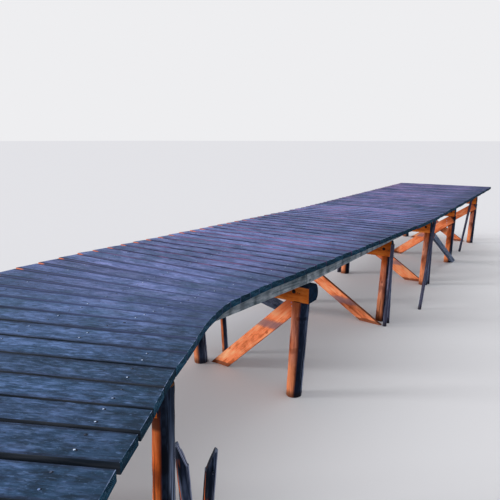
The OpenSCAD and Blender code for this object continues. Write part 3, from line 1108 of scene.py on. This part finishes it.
# %% Side boards
def grey_board():
    # Grey-blue: weathered wood, and painted shade on a board that faces away from the low light.
    finish = Finish("weathered brace board in painted shade")
    body, height, _ = wood(finish, shades((40, 54, 72), (84, 98, 124), (128, 140, 168)))
    return finish.close(body, height)


SIDE_SEED = 100
BOARD_GREY = grey_board()
for number, node in enumerate(("side_brace_left_bay_3", "side_brace_bay_5")):
    board, _ = sawn_timber(node, node + "_board", "grey_board", (BOARD_GREY, BRACE_END),
                           SIDE_SEED + number, cut=(0.6, 4.0, 30), worn=0.004,
                           bowed=(0.005, 0.25))
    print(board.name, len(board.data.polygons), "faces")

# %% [markdown]
# ## Poles and old piles
# Slender poles stand and lean beside the far bents, and turn grey along the jetty, where painted
# sky light also lifts their painted shade. Two old piles have rotted to splintered stubs: slate
# outside, with a bright orange vein where the heart shows. A finish of their own could be written
# for each, but they are logs too, so the functions for piles serve again with other options.

# %% Poles and old piles
POLE_FACE = round_log(
    "weathered pole",
    ochre=shades((66, 32, 24), (166, 84, 50), (222, 126, 78)),
    rose=shades((66, 42, 40), (146, 88, 72), (204, 132, 104)),
    slate=SLATE, pale=colour(160, 178, 210), grey_from=-1.6)
ROTTEN_FACE = round_log(
    "rotten log",
    ochre=shades((8, 16, 26), (36, 46, 62), (104, 114, 140)),
    rose=shades((8, 14, 24), (30, 38, 52), (92, 100, 124)),
    slate=SLATE, pale=colour(160, 170, 204),
    heart=colour(236, 122, 58), checks=34, pale_share=1.0)
ROTTEN_CORE = sawn_end("rotten core", colour(20, 30, 42), colour(140, 152, 178), (0, 0))

POLE_SEED = 110
for node, finishes, slot in (("thin_poles", (POLE_FACE, LOG_END), "pole"),
                             ("raking_poles", (POLE_FACE, LOG_END), "pole"),
                             ("old_piles", (ROTTEN_FACE, ROTTEN_CORE), "old_pile")):
    lines = logs(node, node + "_dressed", slot, finishes, POLE_SEED, slices=21,
                 bowed=(0.005, 0.12))
    print(node, len(lines))

# %% [markdown]
# ## Heads for nails and bolts
# Two nails hold each board to each stringer. Their heads shine against a dark stain in the wood,
# which is shifted to one side as a painted shadow, and some have gone dull. A few hundred separate
# objects would be slow, so one head is modelled, its points are read, and they are repeated into
# one mesh for each bay.

# %% Helpers: one head, repeated
HEAD_EDGE = math.radians(60)


def head_shape(radius, height, sides):
    bpy.ops.object.select_all(action="DESELECT")
    bpy.ops.mesh.primitive_cylinder_add(vertices=sides, radius=radius, depth=2 * height)
    head = bpy.context.object
    apply_modifier(head, "BEVEL", width=height * 0.8, segments=1, limit_method="ANGLE",
                   angle_limit=HEAD_EDGE)
    points = points_of(head.data)
    faces = [list(face.vertices) for face in head.data.polygons]
    bpy.data.objects.remove(head)
    return points, faces


def repeat(name, shapes, finishes):
    points, faces, kinds = [], [], []
    for (shape_points, shape_faces), kind, centre, turn in shapes:
        base = sum(len(group) for group in points)
        points.append(shape_points @ np.array(turn) + np.array(centre))
        faces += [[index + base for index in face] for face in shape_faces]
        kinds += [kind] * len(shape_faces)
    mesh = bpy.data.meshes.new(name)
    mesh.from_pydata(np.concatenate(points).tolist(), [], faces)
    for finish in finishes:
        mesh.materials.append(finish)
    mesh.polygons.foreach_set("material_index", kinds)
    mesh.update()
    piece = bpy.data.objects.new(name, mesh)
    bpy.context.collection.objects.link(piece)
    return piece


nail_head = head_shape(radius=0.0048, height=0.0010, sides=10)
nail_stain_and_shadow = head_shape(radius=0.0075, height=0.0006, sides=10)
print("a nail head has", len(nail_head[1]), "faces")

# %% [markdown]
# ## Old iron
# Nails and bolts are iron that has rusted in spots. A fine noise mixes a dark and a light tone, and
# only a little metal shows through: a shader that is fully metal would look like new steel. The
# stain and painted shadow round a nail are made the same way, without any metal and quite rough.

# %% Finish: iron
def metal(name, dark, light, shine, roughness):
    finish = Finish(name)
    rust = finish.noise(finish.spot(60, 60, 60))
    body = finish.ramp(rust, (0.42, dark), (0.58, light))
    finish.shader.inputs["Metallic"].default_value = shine
    return finish.close(body, rust, roughness=roughness, depth=0.0008)


NAIL_METAL = metal("bright nail head", colour(110, 136, 184), colour(206, 226, 255), 0.3, 0.35)
NAIL_DULL = metal("dull nail head", colour(30, 38, 52), colour(92, 104, 128), 0.3, 0.6)
NAIL_STAIN_AND_SHADOW = metal("nail stain and painted shadow", colour(16, 22, 32), colour(30, 38, 54), 0, 0.9)
BOLT_IRON = metal("rusty bolt", colour(14, 12, 14), colour(52, 32, 26), 0.2, 0.7)
print("metals:", NAIL_METAL.name, NAIL_DULL.name, BOLT_IRON.name)

# %% [markdown]
# ## Nails in the deck
# A pair of nails belongs wherever a board crosses a stringer, so each crossing of two middle lines
# is worked out in plan. No carpenter hits the line exactly: each nail is jogged a little, by a
# seeded generator, which gives the same places on every run. Because the boards are warped and
# bowed, a ray from above finds the height at which the head sits.

# %% Helpers: a pair of nails
FLAT = np.eye(3)
BRIGHT, DULL, STAIN_AND_SHADOW = range(3)
NAIL_ASIDE = 0.047
JOG = 0.02
ABOVE_DECK = 2
HEAD_PROUD = 0.0004
STAIN_SUNK = 0.0002
# The stain is shifted the way the lamp's shadows fall: a dark stain with a painted shadow.
SHADOW_SHIFT = (0.002, -0.003)
rng = np.random.default_rng(8)


def surface_of(piece):
    mesh = piece.data
    return BVHTree.FromPolygons([vertex.co for vertex in mesh.vertices],
                                [tuple(face.vertices) for face in mesh.polygons])


def nail_pair(surface, board, beam, dull_share):
    (right, left), (low, high) = board, beam
    over, under = (left - right).xy, (high - low).xy
    share, reach = crossing(right.xy, over, low.xy, under)
    if not (SLACK < share < 1 - SLACK and -SLACK < reach < 1 + SLACK):
        return
    for way in (-1, 1):
        jog = rng.uniform(-JOG, JOG, 2)
        spot = (right.xy + over * share + under.normalized() * (way * NAIL_ASIDE + jog[0] * 0.5)
                + over.normalized() * jog[1])
        hit = surface.ray_cast(Vector((spot.x, spot.y, ABOVE_DECK)), Vector((0, 0, -1)))[0]
        if hit is None:
            continue
        kind = DULL if rng.random() < dull_share else BRIGHT
        yield nail_head, kind, (spot.x, spot.y, hit.z + HEAD_PROUD), FLAT
        # A dark stain round the head, shifted to one side as a painted shadow.
        stain = (spot.x + SHADOW_SHIFT[0], spot.y + SHADOW_SHIFT[1], hit.z - STAIN_SUNK)
        yield nail_stain_and_shadow, STAIN_AND_SHADOW, stain, np.diag((rng.uniform(0.7, 1.1), rng.uniform(0.8, 1.8), 1))


print("two nails stand", 2 * NAIL_ASIDE, "m apart")

# %% Nails
DULL_NEAR = 0.4
DULL_FAR = 0.62
for bay in BAYS:
    surface = surface_of(boards_of_bay[bay])
    dull_share = DULL_NEAR if bay in NEAR_BAYS else DULL_FAR
    shapes = [shape for board in board_lines[bay - 1]
              for beam in with_neighbours(stringer_lines, bay)
              for shape in nail_pair(surface, board, beam, dull_share)]
    nails = repeat("nails_bay_%d" % bay, shapes, (NAIL_METAL, NAIL_DULL, NAIL_STAIN_AND_SHADOW))
    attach(nails, "root")
    print(nails.name, len(shapes) // 2, "nails", len(nails.data.polygons), "faces")

# %% [markdown]
# ## Bolts and brace nails
# A bolt with a washer holds each cap beam to its pile, with two old nails beside it, and three
# nails hold the head of each brace. Rays find their places too, but here the face that they hit
# leans and bends, so each head is turned to stand square on it.

# %% Helper: a spot on a leaning face
def on_surface(surface, origin, way):
    hit, normal = surface.ray_cast(Vector(origin), Vector(way))[:2]
    if hit is None:
        return None, None
    normal = np.array(normal)
    side = np.cross((0, 0, 1), normal)
    side /= np.linalg.norm(side)
    return np.array(hit), np.array([side, np.cross(normal, side), normal])


small_head = head_shape(radius=0.0055, height=0.0015, sides=10)
print("a small head has", len(small_head[1]), "faces")

# %% Helper: the bolts of a cap beam
bolt_washer = head_shape(radius=0.020, height=0.002, sides=20)
bolt_head = head_shape(radius=0.012, height=0.008, sides=6)
IRON, BRIGHT_NAIL = range(2)
BEFORE_BEAM = 0.6
INSET = {"right": 0.03, "left": 0}
# Each row: how far inward, how far above the beam's underside, and the shapes, each with the
# height at which it starts.
CAP_FASTENERS = ((0.0, 0.10, ((bolt_washer, 0), (bolt_head, 0.006))),
                 (-0.043, 0.093, ((small_head, 0),)),
                 (-0.060, 0.09, ((small_head, 0),)))


def cap_bolts(bent, beam):
    surface = surface_of(beam)
    underside = min(vertex.co.z for vertex in beam.data.vertices)
    to_left = (pile_lines["left", bent][1] - pile_lines["right", bent][1]).normalized()
    front = Vector((-to_left.y, to_left.x, 0))
    for side, inward in (("right", to_left), ("left", -to_left)):
        top = pile_lines[side, bent][1]
        for shift, rise, parts in CAP_FASTENERS:
            origin = (Vector((top.x, top.y, 0)) + inward * (shift + INSET[side])
                      + front * BEFORE_BEAM)
            spot, turn = on_surface(surface, (origin.x, origin.y, underside + rise), -front)
            if spot is not None:
                for shape, proud in parts:
                    yield shape, IRON, spot + turn[2] * proud, turn


print("fasteners at each end of a cap beam:", len(CAP_FASTENERS))

# %% Bolts and brace nails
BEFORE_BRACE = 0.5
# Each row: how far below the board's upper end, and how far aside.
BRACE_NAILS = ((0.10, 0.03), (0.14, -0.03), (0.12, 0.0))


def brace_nails(boards, lines):
    surface = surface_of(boards)
    for start, end in lines:
        axis = np.array((end - start).normalized())
        for back, aside in BRACE_NAILS:
            origin = np.array(end) - axis * back + np.cross(axis, (1, 0, 0)) * aside
            spot, turn = on_surface(surface, origin - np.array((BEFORE_BRACE, 0, 0)), (1, 0, 0))
            if spot is not None:
                yield small_head, BRIGHT_NAIL, spot, turn


shapes = [shape for bent, beam in caps.items() for shape in cap_bolts(bent, beam)]
shapes += [shape for brace in braces.values() for shape in brace_nails(*brace)]
bolts = repeat("bolts_and_brace_nails", shapes, (BOLT_IRON, NAIL_METAL))
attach(bolts, "root")
print("bolts and nails:", len(shapes))

# %% [markdown]
# ## The floor
# The jetty stands on a plain pale floor. The camera and mirror rays see it pale, while to the light
# that bounces off it the floor is darker, so that the shade under the deck stays deep. The Light
# Path node tells these rays apart.

# %% Floor
FLOOR_SIZE = 1600
FLOOR_SEEN = (0.8, 0.8, 0.82, 1)
FLOOR_BOUNCE = (0.22, 0.22, 0.24, 1)

bpy.ops.object.select_all(action="DESELECT")
bpy.ops.mesh.primitive_plane_add(size=FLOOR_SIZE, location=(0, 0, 0))
floor = bpy.context.object
floor.name = "floor"
plain = Finish("plain floor")
ray = plain.node("LightPath").outputs
mirrored = plain.maths("MAXIMUM", ray["Is Glossy Ray"], ray["Is Transmission Ray"])
seen = plain.maths("MAXIMUM", ray["Is Camera Ray"], mirrored)
plain.set_input(plain.shader.inputs["Base Color"], plain.mix(seen, FLOOR_BOUNCE, FLOOR_SEEN))
plain.shader.inputs["Roughness"].default_value = 1
plain.shader.inputs["Specular IOR Level"].default_value = 0
floor.data.materials.append(plain.material)
print("floor:", FLOOR_SIZE, "m wide")

# %% [markdown]
# ## The light
# An even world lights every side at a plain level. One low lamp shines from the left, in under the
# deck: it lights the fronts of the braces and the left halves of the piles, and only brushes the
# deck. A wide angle makes it soft.

# %% Light
WORLD_TONE = (0.95, 0.95, 0.97, 1)
WORLD_STRENGTH = 0.9
SUN_FROM = 125
SUN_HEIGHT = 7
SUN_STRENGTH = 2.6
SUN_SOFTNESS = 12

world = bpy.data.worlds.new("studio")
bpy.context.scene.world = world
world.use_nodes = True
background = world.node_tree.nodes["Background"]
background.inputs["Color"].default_value = WORLD_TONE
background.inputs["Strength"].default_value = WORLD_STRENGTH
bpy.context.scene.view_settings.view_transform = "Standard"

bpy.ops.object.light_add(type="SUN", rotation=(math.radians(90 - SUN_HEIGHT), 0,
                                               math.radians(SUN_FROM + 90)))
sun = bpy.context.object
sun.name = "low soft sun"
sun.data.energy = SUN_STRENGTH
sun.data.angle = math.radians(SUN_SOFTNESS)
print("lamp", SUN_HEIGHT, "degrees above the floor")
